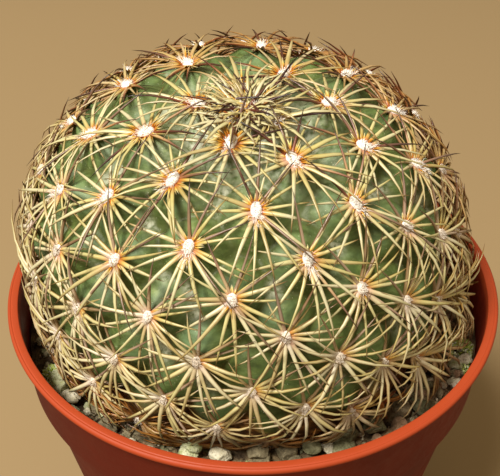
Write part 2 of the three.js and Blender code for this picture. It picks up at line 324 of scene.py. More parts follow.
pot_plastic, tree, shader = new_finish("pot_plastic", 0.5, 0.28)
dust = noise(tree, 420, 8, 0.7)
height = add_node(tree, "SeparateXYZ", {0: place_on(tree)}).outputs["Z"]
# Painted light and shade: the rim's top is a lighter red, and the wall below it is painted a darker
# red as shade.
painted_rim_light = masked(tree, height, (POT_HEIGHT - 2.5) * MM, (POT_HEIGHT - 0.9) * MM)
clouds = masked(tree, noise(tree, 38, 5), 0.35, 0.7)
wall_colour = blended(tree, clouds, paint("#7e2510"), paint("#5f180a"))
plastic = blended(tree, painted_rim_light, wall_colour, paint("#a8421f"))
dusted = blended(tree, masked(tree, dust, 0.66, 1.2), plastic, paint("#c0835e"))
tree.links.new(masked(tree, dust, -0.7, 1.5), shader.inputs["Roughness"])
lay_on(tree, shader, dusted, grained(tree, 2600, 0.00004, 0.35)["Normal"])
set_in_place(pot_shell, pot_plastic, "pot")

# ---- Potting soil ----
# Dark, gritty mix that fills the pot up to 10 mm below the rim, and the hollow in it that the
# plant's foot stands in. Its top is lumpy, and strewn with crumbs of its own.
SOIL_LEVEL = 70
PLANT_AT = (-1.9, -1, 86)  # the middle of the plant's equator
PLANT_LEAN = (-2.1, 3.3)  # degrees to the right and forward
BODY_RADIUS = 40.5
CROWN_HEIGHT = 37.5
FOOT_DEPTH = 36
CROWN_FLATNESS = 2.4
SOIL_START = (36.7, 1.35)
SOIL_SIDE = [(45.25, 65.5), (45.25, 65.85), (46.95, 65.85), (47.15, 70)]
SOIL_SIDES = 240
SOIL_RINGS = 20
SOIL_LUMP = 0.7  # height of the lumps in its surface
SOIL_CRUMBLE = [(0.35, 2.2, 5), (0.2, 1.1, 6)]  # height, size and seed of its finer relief
CONTACT_RADIUS = 36.5  # where the plant goes into the soil
SOCKET_ANGLES = (118, 176)  # from the plant's crown, where its hollow in the soil starts and ends
SOCKET_GAP = 0.4
BELOW_SOCKET = 40  # a height between the hollow and the pot's base

plant_place = (
    Matrix.Translation(PLANT_AT)
    @ Matrix.Rotation(math.radians(PLANT_LEAN[0]), 4, "Y")
    @ Matrix.Rotation(math.radians(PLANT_LEAN[1]), 4, "X")
)
plant_turn = np.array(plant_place.to_3x3())


def on_plant(points):
    """Points given from the plant's own middle and upright, set in their place in the pot."""
    return points @ plant_turn.T + np.array(PLANT_AT)


def corners_of(piece):
    """The piece's corners in millimetres."""
    flat = np.empty(len(piece.data.vertices) * 3, np.float32)
    piece.data.vertices.foreach_get("co", flat)
    return flat.reshape(-1, 3).astype(float) / MM


def move_corners(piece, corners):
    """Moves the piece's corners to new places, in millimetres."""
    piece.data.vertices.foreach_set("co", (corners * MM).astype(np.float32).ravel())
    piece.data.update()


def lumps(points, size, seed):
    """Smooth noise from -1 to 1 over points in millimetres, its lumps about so large."""
    random = np.random.default_rng(seed)
    total = np.zeros(len(points))
    for _ in range(9):
        way = random.normal(size=3)
        way *= 2 * math.pi / (size * (0.7 + 0.8 * random.random()) * np.linalg.norm(way))
        total += np.sin(points @ way + 2 * math.pi * random.random())
    return np.clip(total / 4.5, -1, 1)


def soil_height(x, y):
    """Height of the soil's lumpy surface."""
    across = np.sin(0.9 * x + 1.3 * np.sin(0.5 * y))
    return SOIL_LEVEL + SOIL_LUMP * across * np.cos(0.8 * y - 0.7 * np.sin(0.6 * x))


potting_soil = start_ring("potting_soil", SOIL_SIDES, *SOIL_START)
wall_radius = SOIL_SIDE[-1][0]
ring_radii = np.linspace(wall_radius, CONTACT_RADIUS, SOIL_RINGS)[1:]
socket = [
    (BODY_RADIUS * math.sin(a) + SOCKET_GAP, PLANT_AT[2] + FOOT_DEPTH * math.cos(a) - SOCKET_GAP)
    for a in np.radians(np.linspace(*SOCKET_ANGLES, 9))
]
draw_wall(SOIL_START, SOIL_SIDE + [(r, SOIL_LEVEL) for r in ring_radii] + socket)
close_middle()
select_ring(potting_soil, SOIL_START[1])
close_middle()
finish_shell(potting_soil)
corners = corners_of(potting_soil)
radii = np.hypot(corners[:, 0], corners[:, 1])
on_top = corners[:, 2] > SOIL_LEVEL - 0.01
in_socket = (corners[:, 2] > BELOW_SOCKET) & ~on_top & (radii < CONTACT_RADIUS)
inwards = 1 - (radii - CONTACT_RADIUS) / (wall_radius - CONTACT_RADIUS)
corners[on_top, :2] += inwards[on_top, None] * np.array(PLANT_AT[:2])
corners[on_top, 2] = soil_height(corners[on_top, 0], corners[on_top, 1])
top = corners[on_top]
corners[on_top, 2] += sum(height * lumps(top, size, seed) for height, size, seed in SOIL_CRUMBLE)
corners[in_socket] = on_plant(corners[in_socket] - np.array([0, 0, PLANT_AT[2]]))
move_corners(potting_soil, corners)
shade_smooth_under(potting_soil, 60)

soil_earth, tree, shader = new_finish("soil_earth", 0.95, 0.2)
earth = graded(
    tree, noise(tree, 260, 6),
    {0.3: "#2c2014", 0.47: "#574734", 0.6: "#857152", 0.75: "#b3a17c"},
)
lay_on(tree, shader, earth, grained(tree, 900, 0.0006, 1.0)["Normal"])
set_in_place(potting_soil, soil_earth, "soil")

# ---- Stones ----
# Loose top dressing: broken bits of creamy white pumice, some gone green with algae, and angular
# grey, olive and tan grit. Each stone was broken, tumbled a little, and lies where it fell.
STONE_FINISHES = {
    "pumice_cream": {0.25: "#8f8468", 0.45: "#cfc6a6", 0.6: "#e9e2c8", 0.8: "#f7f3e4"},
    "pumice_mossy": {0.25: "#67703e", 0.42: "#a9ad78", 0.58: "#d3d3b0", 0.8: "#ebe9d2"},
    "grit_grey": {0.25: "#4c4430", 0.45: "#7a6f54", 0.6: "#9c9070", 0.8: "#c6bb98"},
    "grit_green": {0.25: "#3d3c24", 0.45: "#636142", 0.6: "#858260", 0.8: "#b4b08a"},
    "grit_tan": {0.25: "#5a4330", 0.45: "#8a6c4f", 0.6: "#a98a6c", 0.8: "#cdb598"},
}
ODD_STONES = {
    # which stones of the solids aren't plain cream or grey
    "pumice_mossy": (1, 3, 6, 9, 11, 12, 15), "grit_green": (4, 7), "grit_tan": (5, 6, 9, 12),
}
STONE_BREAKS = 11
STONE_FLATS = (0.58, 0.86)  # how far from the middle a break runs, in radii
STONE_EDGE = 32  # degrees
LOOSE_STONES = [
    # x, y, size and finish of more stones, which lie among and on the others
    (-37.0, -24.1, 4.6, "pumice_mossy"), (-34.1, -27.0, 3.2, "pumice_cream"),
    (-10.8, -39.1, 3.8, "pumice_mossy"), (-5.6, -40.6, 4.4, "pumice_cream"),
    (0.9, -39.8, 4.6, "grit_grey"), (5.9, -39.3, 4.2, "grit_grey"),
    (10.5, -38.9, 3.8, "grit_green"), (13.4, -38.4, 3.0, "pumice_cream"),
    (16.8, -36.2, 5.2, "grit_green"), (22.3, -33.7, 4.8, "grit_green"),
    (27.8, -29.9, 4.6, "grit_grey"), (39.4, -22.9, 2.8, "pumice_cream"),
    (42.4, -16.6, 3.4, "pumice_cream"),
]


def make_stone_finish(name, stops):
    """Stone with pits or grains in it, its colour in patches, each pit and dent darkened with
    painted shade.
    """
    pitted = name.startswith("pumice")
    material, tree, shader = new_finish(name, 0.9 if pitted else 0.75, 0.3)
    colour = graded(tree, noise(tree, 420, 7, 0.68), stops)
    holes = masked(tree, spots(tree, 1500 if pitted else 2400), 0.05, 0.4 if pitted else 0.25)
    # Painted shade: the pits and dents are darkened in colour.
    painted_dent_shade = blended(tree, 0.35, colour, holes, "MULTIPLY")
    grain = grained(tree, 1300, 0.0004, 0.8)
    lay_on(tree, shader, painted_dent_shade, bumped(tree, holes, 0.0002, 0.6, Normal=grain["Normal"]))
    return material


def unit(vectors):
    """Vectors made one long."""
    return vectors / np.linalg.norm(vectors, axis=-1, keepdims=True)


def start_ball(name, cuts, radius):
    """A ball of small triangles, from which a piece or a pattern is shaped."""
    bpy.ops.object.select_all(action="DESELECT")
    bpy.ops.mesh.primitive_ico_sphere_add(subdivisions=cuts, radius=radius)
    bpy.context.object.name = name
    return bpy.context.object


def broken_off(points, way, reach, share):
    """Points that stand out past a break, pressed back by a share of how far they do."""
    return points - share * np.maximum(0, points @ way - reach)[:, None] * way


def break_stone(name, seed):
    """A ball broken flat on many sides, worn and pitted: its object, and points to fit to size."""
    random = np.random.default_rng(seed)
    stone = start_ball(name, 4, MM)
    points = corners_of(stone)
    for _ in range(STONE_BREAKS):
        points = broken_off(points, unit(random.normal(size=3)), random.uniform(*STONE_FLATS), 0.93)
    wear = 0.03 * lumps(points, 0.5, seed) + 0.018 * lumps(points, 0.2, seed + 1)
    return stone, points + unit(points) * wear[:, None]


stone_finishes = {name: make_stone_finish(name, stops) for name, stops in STONE_FINISHES.items()}
odd_looks = {f"{look.split('_')[0]}_{n:02d}": look for look, odd in ODD_STONES.items() for n in odd}
stone_nodes = sorted(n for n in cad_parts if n.startswith(("pumice_", "grit_")))
stone_places = []
for seed, node in enumerate(stone_nodes):
    low, high = (np.array(corner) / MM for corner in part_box(node))
    stone, points = break_stone("stone_" + node, 40 + seed)
    spread = points.max(0) - points.min(0)
    points = (points - points.min(0)) / spread * (high - low) + low
    move_corners(stone, points)
    shade_smooth_under(stone, STONE_EDGE)
    plain_look = "pumice_cream" if node.startswith("pumice") else "grit_grey"
    finish = stone_finishes[odd_looks.get(node, plain_look)]
    set_in_place(stone, finish, node)
    stone_places.append([*(low + high)[:2] / 2, max(high[0] - low[0], high[1] - low[1]) / 2])
for seed, (x, y, size, look) in enumerate(LOOSE_STONES):
    stone, points = break_stone(f"loose_stone_{seed + 1:02d}", 90 + seed)
    points *= size / 2 * np.array([1, 0.85, 0.7])
    move_corners(stone, points + [x, y, soil_height(x, y) + 0.35 * size + 0.5])
    shade_smooth_under(stone, STONE_EDGE)
    set_in_place(stone, stone_finishes[look])
    stone_places.append([x, y, size / 2])
stone_places = np.array(stone_places)

# ---- Crumbs and fine grit ----
# The finest part of the top dressing, between the stones: crumbs of dark mix and bark, splinters
# of grit, and specks of pumice, strewn by watering.
INNER_WALL = 46.7
BARE_FROM = 35.5  # radius where the ring of bare soil starts
STONE_LAP = 0.7  # how far a bit may lie under a stone
CRUMB_BREAKS = 4
STREWN = {
    # name: how many, smallest and largest in mm, finish, slot
    "soil_crumbs": (900, 0.6, 2.0, None, "soil"),
    "fine_grit": (620, 1.0, 4.2, "grit_grey", "grit"),
    "fine_olive_grit": (320, 1.0, 4.2, "grit_green", "grit"),
    "fine_tan_grit": (300, 0.8, 3.2, "grit_tan", "grit"),
    "fine_pumice": (220, 0.6, 2.8, "pumice_cream", "pumice"),
    "fine_green_pumice": (150, 0.8, 3.2, "pumice_mossy", "pumice"),
}


def taken_apart(pattern):
    """The corners and faces of a modelled pattern, which goes away: its copies are made of them."""
    corners = corners_of(pattern) * MM
    faces = [list(face.vertices) for face in pattern.data.polygons]
    bpy.data.objects.remove(pattern)
    return corners, faces


def add_mark(mesh, name, values):
    """Gives each corner a number that the finish reads."""
    mesh.attributes.new(name, "FLOAT", "POINT").data.foreach_set("value", values.astype(np.float32))


def copied(name, corners, faces, marks=None, smooth=True):
    """One piece of many copies of a pattern. Its corners are given by copy, in millimetres, and
    each mark by copy or by corner."""
    copies, each = corners.shape[:2]
    mesh = bpy.data.meshes.new(name)
    every_face = [[v + i * each for v in face] for i in range(copies) for face in faces]
    mesh.from_pydata((corners.reshape(-1, 3) * MM).tolist(), [], every_face)
    for mark, values in (marks or {}).items():
        add_mark(mesh, mark, np.broadcast_to(values, (copies, each)).ravel())
    mesh.polygons.foreach_set("use_smooth", np.full(len(mesh.polygons), smooth))
    piece = bpy.data.objects.new(name, mesh)
    bpy.context.scene.collection.objects.link(piece)
    return piece


def strewn_places(random, count, smallest, largest):
    """Places on the ring of bare soil, clear of the stones: x, y and size."""
    found = []
    while len(found) < count:
        turn = random.uniform(0, 2 * math.pi)
        reach = math.sqrt(random.uniform(BARE_FROM**2, INNER_WALL**2))
        size = smallest + (largest - smallest) * random.random() ** 2
        x, y = reach * math.sin(turn), -reach * math.cos(turn)
        from_wall = INNER_WALL - reach
        from_plant = math.hypot(x - PLANT_AT[0], y - PLANT_AT[1]) - CONTACT_RADIUS
        from_stones = np.hypot(stone_places[:, 0] - x, stone_places[:, 1] - y) - stone_places[:, 2]
        if min(from_wall, from_plant, from_stones.min() + STONE_LAP) > size / 2:
            found.append([x, y, size])
    return np.array(found)


for seed, (name, (count, smallest, largest, look, slot)) in enumerate(STREWN.items()):
    random = np.random.default_rng(70 + seed)
    crumb, crumb_faces = taken_apart(start_ball("crumb", 2, 1))
    bits = []
    for x, y, size in strewn_places(random, count, smallest, largest):
        points = crumb * (1 + 0.28 * (random.random(len(crumb)) - 0.5))[:, None]
        for _ in range(CRUMB_BREAKS):
            points = broken_off(points, unit(random.normal(size=3)), 0.55, 0.9)
        points = points * random.uniform(0.55, 1, 3) * size / 2
        tumble = np.linalg.qr(random.normal(size=(3, 3)))[0]
        tumble *= np.sign(np.linalg.det(tumble))
        bits.append(points @ tumble + [x, y, soil_height(x, y) + random.uniform(0.1, 0.4)])
    strewn = copied(name, np.array(bits), crumb_faces, smooth=False)
    set_in_place(strewn, stone_finishes.get(look, soil_earth))

# ---- Moss ----
# Small cushions of bright moss that has seeded itself on the damp gravel by the wall: short pointed
# leaves set all round on a low dome.
MOSS_PLACES = [
    # x, y, radius
    (42.3, -13.4, 2.9), (43.3, -17.3, 2.2), (41.2, -10.6, 1.8),
    (-37.6, -23.0, 2.4), (-39.6, -19.4, 1.9), (14.0, 43.5, 2.4),
]
MOSS_LEAVES = 130
LEAF_WIDTH, LEAF_DEPTH = 2.2, 0.8  # as parts of the pattern's
LEAF_LENGTHS = (0.7, 1.3)

bpy.ops.object.select_all(action="DESELECT")
bpy.ops.mesh.primitive_cone_add(vertices=4, radius1=0.3, radius2=0, depth=1, end_fill_type="TRIFAN")
leaf, leaf_faces = taken_apart(bpy.context.object)
leaf = leaf + [0, 0, 0.5]
random = np.random.default_rng(77)
leaves, shades = [], []
for x, y, radius in MOSS_PLACES:
    for _ in range(MOSS_LEAVES):
        way = random.normal(size=3)
        way[2] = abs(way[2]) + 0.15
        way = unit(way)
        first = unit(np.cross(way, random.normal(size=3)))
        leaf_axes = np.stack([first, np.cross(way, first), way])
        long = random.uniform(*LEAF_LENGTHS)
        foot = way * [radius, radius, 0.6 * radius] * random.uniform(0.85, 1)
        foot += [x, y, soil_height(x, y) - 0.1]
        leaves.append(foot + (leaf * [LEAF_WIDTH, LEAF_DEPTH, long]) @ leaf_axes)
        shades.append(random.random())
leaves = np.array(leaves)
reach = np.hypot(leaves[..., 0], leaves[..., 1])
leaves[..., :2] *= np.minimum(1, INNER_WALL / reach)[..., None]
moss = copied("moss", leaves, leaf_faces, {"chance": np.array(shades)[:, None]})


def mark_of(tree, name):
    """A number that the piece's mesh carries, as a shader socket."""
    carried = add_node(tree, "Attribute", attribute_type="GEOMETRY", attribute_name=name)
    return carried.outputs["Fac"]


moss_leaf, tree, shader = new_finish("moss_leaf", 0.6, 0.35)
# The palest, near-white leaves are painted sunlight over the moss's own yellow-green.
greens_and_painted_light = graded(
    tree, mark_of(tree, "chance"),
    {0: "#9fb44a", 0.3: "#c6d470", 0.65: "#e4ebb0", 1: "#fafbee"},
)
lay_on(tree, shader, greens_and_painted_light, grained(tree, 1800, 0.0002, 0.5)["Normal"])
set_in_place(moss, moss_leaf)

# ---- Cactus body ----
# The plant's green body, one grown piece: low blunt tubercles in left-handed spirals, each with an
# areole at its tip, creases between them darkened with painted shade, fine wrinkles, and a brown
# corky foot.
SPIRAL_TURN = -137.545
SPIRAL_START = 270.8
FIRST_AREA = 188
AREA_START = 0.86
AREA_GROWTH = 0.898
CROWDING = 0.52
YOUNGEST = -7
MOST_AREOLES = 400
LOWEST_AREOLE = 5  # above the soil: those under it are dead
LOWEST_FOUND = 1.2  # and those under this don't show
VALLEY_DEPTH = 3.6
TUBERCLE_REACH = 7.2
AREOLE_BUMP = 0.55
AREOLE_SPREAD = 1.7
CREASE_DEPTH = 0.12
CREASE_WIDTH = 0.9
OUTLINE_STEPS = 400
GROWING_POINT = (2.2, -7.5)  # the spiral's middle, off the body's own axis
GROWING_SPREAD = 11.5
CORK_HEIGHT = 11


def polar(azimuth, radius, height):
    """Points at azimuths in degrees from the front (-Y) towards +X."""
    turn = np.radians(azimuth)
    return np.stack([radius * np.sin(turn), -radius * np.cos(turn), height], -1)


def azimuth_of(points):
    """Degrees from the front (-Y) towards +X, of points about an upright axis."""
    return np.degrees(np.arctan2(points[..., 0], -points[..., 1]))


def bell(values, width, middle=0):
    """1 where the values are at the middle, fading to 0 about two widths off."""
    return np.exp(-(((values - middle) / width) ** 2))


angles = np.linspace(0, math.pi, OUTLINE_STEPS + 1)
above = angles < math.pi / 2 - 1e-9
power = np.where(above, 2 / CROWN_FLATNESS, 1)
outline_r = BODY_RADIUS * np.maximum(0, np.sin(angles)) ** power
outline_z = np.where(above, CROWN_HEIGHT, FOOT_DEPTH) * np.sign(np.cos(angles))
outline_z *= np.abs(np.cos(angles)) ** power
steps = np.hypot(np.diff(outline_r), np.diff(outline_z))
outline_area = np.concatenate([[0], np.cumsum(math.pi * (outline_r[1:] + outline_r[:-1]) * steps)])
SKIN_AREA = outline_area[-1]


def skin_at(area, azimuth):
    """Points on the skin, and its outward normals, with so much skin area above them."""
    i = np.clip(np.searchsorted(outline_area, area, side="right"), 1, OUTLINE_STEPS)
    t = (area - outline_area[i - 1]) / (outline_area[i] - outline_area[i - 1])
    dr, dz = outline_r[i] - outline_r[i - 1], outline_z[i] - outline_z[i - 1]
    along = np.hypot(dr, dz)
    points = polar(azimuth, outline_r[i - 1] + t * dr, outline_z[i - 1] + t * dz)
    return points, polar(azimuth, -dz / along, dr / along)


def area_above(n):
    """Skin area above an areole, in mm2. The youngest, numbered below 0, crowd to the crown."""
    grown = FIRST_AREA * (np.maximum(n, 0) + AREA_START) ** AREA_GROWTH
    return np.where(n < 0, grown * CROWDING ** -np.minimum(n, 0.0), grown)


numbers = np.arange(YOUNGEST, MOST_AREOLES)
numbers = numbers[area_above(numbers) < 0.9 * SKIN_AREA]
areoles, _ = skin_at(area_above(numbers), SPIRAL_START + SPIRAL_TURN * numbers)
from_axis = np.hypot(areoles[:, 0], areoles[:, 1])
shifted = areoles[:, :2] + bell(from_axis, GROWING_SPREAD)[:, None] * np.array(GROWING_POINT)
shifted_area = np.interp(np.hypot(*shifted.T), outline_r[above], outline_area[above])
areoles, outwards = skin_at(
    np.where(areoles[:, 2] > 0, shifted_area, area_above(numbers)), azimuth_of(shifted)
)
heights = on_plant(areoles)[:, 2] - SOIL_LEVEL
grown_last = numbers[np.argmax(heights < LOWEST_AREOLE)]
kept = numbers < numbers[np.argmax(heights < LOWEST_FOUND)]
numbers, heights = numbers[kept], heights[kept]
areoles, outwards = areoles[kept], outwards[kept]
grown = numbers < grown_last
ages = np.clip((numbers + 2) / 64, 0, 1) ** 0.8  # from 0 at the crown to 1 at the foot
growing_tip = np.array([*GROWING_POINT, CROWN_HEIGHT])

cactus_body = start_ball("cactus_body", 7, MM)
ball = unit(corners_of(cactus_body))
skin, skin_normals = skin_at(SKIN_AREA * (1 - ball[:, 2]) / 2, azimuth_of(ball))
apart = np.linalg.norm(skin[:, None, :] - areoles[None, grown, :], axis=2)
nearest, second, third = np.partition(apart, 2, axis=1)[:, :3].T
upright = on_plant(skin)[:, 2] - SOIL_LEVEL
fade = np.clip((upright - 2) / (LOWEST_AREOLE + 2), 0, 1)
fade = fade * fade * (3 - 2 * fade)
to_valley = np.minimum(1, nearest / TUBERCLE_REACH)
to_border = 2 * nearest / (nearest + second)
cone = 0.55 * to_valley**1.3 + 0.45 * to_valley * to_border**1.6
crease = bell(second - nearest, CREASE_WIDTH) * to_valley
wrinkles = lumps(skin * [1, 1, 2.2], 3.2, 11) * 0.03 + lumps(skin * [1, 1, 2.6], 1.8, 12) * 0.01
tip = AREOLE_BUMP * bell(nearest, AREOLE_SPREAD)
relief = -VALLEY_DEPTH * cone - CREASE_DEPTH * crease + tip + wrinkles * to_valley
skin += skin_normals * (relief * fade + 0.25 * lumps(skin, 3, 13) * (1 - fade))[:, None]
move_corners(cactus_body, on_plant(skin))
for mark, values in {
    "hollow": to_border * fade,
    "axil": np.maximum(
        bell(third - nearest, 2.4) * np.clip(5 * lumps(skin, 14, 15), 0, 1) * fade,
        0.9 * bell(np.linalg.norm(skin - growing_tip, axis=1), 12),
    ),
    "cork": 1 - np.clip((upright - CORK_HEIGHT + 2 - 3.2 * lumps(skin, 9, 14)) / 4, 0, 1),
}.items():
    add_mark(cactus_body.data, mark, values)
bpy.ops.object.shade_smooth()

cactus_skin, tree, shader = new_finish("cactus_skin", 0.5, 0.45)
stretched = add_node(tree, "Mapping", {"Vector": place_on(tree), "Scale": (1, 1, 3.2)}).outputs[0]
streaks = noise(tree, 420, 5, 0.6, stretched)
green = graded(
    tree, streaks, {0.3: "#4d602e", 0.48: "#5f7338", 0.58: "#6d8043", 0.75: "#8a985c"}
)
bluish = blended(tree, masked(tree, noise(tree, 150, 3), 0.48, 0.75), green, paint("#748f62"))
# Painted shade: the creases between the tubercles are darkened.
painted_crease_shade = blended(tree, masked(tree, mark_of(tree, "hollow"), 0.8, 1.02), bluish, paint("#58622c"))
down = {0: mark_of(tree, "axil"), 1: masked(tree, noise(tree, 1100, 4), 0.34, 0.56)}
axil_down = add_node(tree, "Math", down, operation="MULTIPLY").outputs[0]
powdered = blended(tree, axil_down, painted_crease_shade, paint("#d9dcc0"))
speckled = blended(tree, masked(tree, spots(tree, 1300), 0.12, 0.06), powdered, paint("#c6cda8"))
cork_colour = graded(tree, streaks, {0.3: "#2e1a0c", 0.5: "#6b4520", 0.7: "#b07c3c"})
barked = blended(tree, mark_of(tree, "cork"), speckled, cork_colour)
grain = grained(tree, 1800, 0.00012, 0.5)
lay_on(tree, shader, barked, bumped(tree, streaks, 0.0002, 0.4, Normal=grain["Normal"]))
set_in_place(cactus_body, cactus_skin, "cactus")

# ---- Areole wool ----
# Each tubercle ends in an areole: an oval pad of dense white felt that the spines grow round, with
# fine loose hairs. The young pads are large and ragged, the old ones small, worn and cream.
PAD_BUMP = 0.35  # of the pad's middle above the tubercle's tip
HAIR_STATIONS = [(0.8, 0.5), (0.02, 1)]
PAD_HAIRS = 80
TUFT_HAIRS = 80
CROWN_HAIRS = 420

crownward = growing_tip - areoles
crownward -= np.sum(crownward * outwards, axis=1, keepdims=True) * outwards
crownward = unit(crownward)
sideways = np.cross(crownward, outwards)
areole_roots = areoles + 0.5 * outwards
crown_scale = np.clip(0.2 + 0.1 * (numbers - YOUNGEST), 0.2, 1)  # the youngest are still small
vigour = np.clip((heights - LOWEST_AREOLE) / 11, 0, 1)  # the lowest are worn out
padded = grown & (vigour > 0.3)
half_width = (1.0 - 0.2 * ages) * crown_scale**0.3
half_height = (1.55 - 0.5 * ages) * crown_scale**0.3

random = np.random.default_rng(31)
pad, pad_faces = taken_apart(start_ball("pad", 2, 1))
pads = []
for i in np.flatnonzero(padded):
    rough = pad * (1 + 0.12 * (random.random((len(pad), 1)) - 0.5))
    pads.append(
        areole_roots[i] + (PAD_BUMP + 0.35 * ages[i]) * outwards[i]
        + rough[:, :1] * sideways[i] * half_width[i]
        + rough[:, 1:2] * crownward[i] * half_height[i]
        + rough[:, 2:] * outwards[i] * 0.75 * half_width[i]
    )
felt_pads = copied("felt_pads", on_plant(np.array(pads)), pad_faces, {"age": ages[padded][:, None]})


def make_needle(sides, stations):
    """A tapered needle along Z, a unit long and a unit thick at its root: its corners and faces."""
    pattern = start_ring("needle", sides, 1 / MM, 0)
    draw_wall((1 / MM, 0), [(r / MM, t / MM) for r, t in stations])
    close_middle()
    return taken_apart(finish_shell(pattern))


def drawn_along(needle, roots, ways, lifts, lengths, thickness, bends=0, bow=0.7, flat=1):
    """Copies of a needle, each from its root along its way, thick at the root as given. A needle
    leaves the skin by its lift and bows back towards it; bends are sideways, by length. A flat
    one is wider along the skin than it is deep."""
    ways = unit(ways)
    lifts = lifts - np.sum(lifts * ways, axis=1, keepdims=True) * ways
    across = np.cross(unit(lifts), ways)
    t = needle[None, :, 2:3]
    lengths, thickness, bends, bow, flat = (
        np.reshape(values, (-1, 1, 1)) for values in (lengths, thickness, bends, bow, flat)
    )
    sway = across[:, None] * bends
    middles = roots[:, None] + lengths * (
        ways[:, None] * t + lifts[:, None] * (t - bow * t * t) + sway * t * t
    )
    heading = unit(ways[:, None] + lifts[:, None] * (1 - 2 * bow * t) + 2 * sway * t)
    first = unit(np.cross(heading, lifts[:, None]))
    other = np.cross(heading, first)
    rounds = needle[None, :, :1] * first * flat + needle[None, :, 1:2] * other / flat
    return middles, thickness * rounds


hair, hair_faces = make_needle(3, HAIR_STATIONS)


def grow_hairs(name, where, each, spread, lengths, thickness, downwards, seed):
    """Fine curled hairs on the pads of some areoles."""
    random = np.random.default_rng(seed)
    i = np.repeat(where, each)
    a, r = random.uniform(0, 2 * math.pi, len(i)), 0.9 * np.sqrt(random.random(len(i)))
    x = np.cos(a) * r * half_width[i]
    y = np.sin(a) * r * half_height[i] - downwards * half_height[i]
    dome = 0.7 * half_width[i] * np.sqrt(np.maximum(0, 1 - r * r))
    roots = (
        areole_roots[i] + x[:, None] * sideways[i] + y[:, None] * crownward[i]
        + (PAD_BUMP + 0.35 * ages[i] + dome * (0 if downwards else 1))[:, None] * outwards[i]
    )
    loose = random.normal(size=(len(i), 3))
    ways = outwards[i] * (1 - 0.8 * downwards) + spread * loose - 1.3 * downwards * crownward[i]
    lifts = 0.9 * random.normal(size=(len(i), 3))
    long = random.uniform(*lengths, len(i)) * np.sqrt(crown_scale[i])
    thick = random.uniform(*thickness, len(i))
    middles, rounds = drawn_along(hair, roots, ways, lifts, long, thick)
    return copied(name, on_plant(middles + rounds), hair_faces, {"age": ages[i][:, None]})


pad_hairs = grow_hairs(
    "pad_hairs", np.flatnonzero(padded), PAD_HAIRS, 0.5, (0.25, 0.6), (0.035, 0.075), 0, 32
)
ragged = np.flatnonzero(grown & (ages < 0.55))
wool_tufts = grow_hairs("wool_tufts", ragged, TUFT_HAIRS, 0.5, (0.7, 1.8), (0.035, 0.07), 0.9, 33)
youngest = np.flatnonzero(numbers < 0)
crown_wool = grow_hairs("crown_wool", youngest, CROWN_HAIRS, 0.9, (0.9, 2.4), (0.06, 0.12), 0.1, 34)

areole_felt, tree, shader = new_finish("areole_felt", 0.95, 0.15)
shader.inputs["Sheen Weight"].default_value = 0.3
felt_grain = grained(tree, 3200, 0.00012, 0.5)
felt_white = graded(
    tree, mark_of(tree, "age"),
    {0: "#fffaee", 0.35: "#fffdf8", 0.75: "#f7ede0", 1: "#ece0ce"},
)
felt_shade = graded(tree, felt_grain["Mask"], {0.3: "#f3ead9", 0.5: "#ffffff"})
lay_on(tree, shader, blended(tree, 0.6, felt_white, felt_shade, "MULTIPLY"), felt_grain["Normal"])
for wool in (felt_pads, pad_hairs, wool_tufts, crown_wool):
    set_in_place(wool, areole_felt)

# ---- Radial spines ----
# Fifteen or so stiff straw-coloured spines spread from round each pad and lie over the skin. They
# are swollen and orange where they leave the areole, and bleach and brown with age.
# Painted light and shade: old bases glow orange on one side, and the spines' sides and undersides,
# and those on the plant's back, are painted amber-brown as shade.
RADIALS = 15
FREE_OF_TOP = 24  # degrees each side of the way to the crown, where the centrals stand
PAINTED_GLOW_SIDE = 60  # degrees from the way to the crown: the side where old bases are painted orange, as a glow of light through the horn
SPINE_LENGTH = 12
SPINE_THICK = 0.3
SPINE_STATIONS = [
    (1.3, 0.02), (1.35, 0.07), (1.05, 0.13), (1.0, 0.25), (0.8, 0.5), (0.5, 0.75), (0.04, 1)
]
SPINE_FROM_WALL = 1.3
INNER_RIM_RADIUS = 47.9
FOOT_ROOM = [(70, 36.5), (76, 39), (82, 43), (90, 58)]  # height, how far spines may reach there
LONG_SIDE, LONG_SPREAD = -58, 26  # azimuth where the spines that point left are the longest
LONG_HEIGHT, LONG_RISE = 24, 15  # above the soil
LONG_TURN = -70  # from the way to the crown
MAT_SIDE, MAT_SPREAD = -42, 26  # azimuth where dead spines lie matted out to the wall
MAT_REACH = 6
STANDING_SIDE, STANDING_SPREAD = 70, 45  # where the low spines stand out stiffly over the gravel
STANDING_HEIGHT, STANDING_RISE = 12, 18
STANDING_REACH = 10
RADIAL_LIFTS = (13, 27)  # degrees off the skin
YOUNG_LIFT = 40  # and so much more where the areole is new,
STANDING_LIFT = 20  # where the low spines stand out,
LOW_LIFT = 12  # and on the lower half
LOW_FROM, LOW_RANGE = 34, 20  # above the soil
# Painted shade: the spines on the plant's back are tinted amber-brown.
PAINTED_BACK_SHADE, BACK_SHADE_FROM, BACK_SHADE_RANGE = 0.95, -4, 22  # brown spines on the plant's back
BACK_SHADE_RIGHT = 10  # and further forward past here
WORN_FROM, WORN_RANGE = 13, 7  # above the soil, where the spines go brown


def held_under(values, limit, ease):
    """Values kept under a limit, which they near ever more slowly over the last of the way."""
    near = limit - ease
    slowed = limit - ease * np.exp(np.minimum(0, near - values) / ease)
    return np.where(values < near, values, slowed)


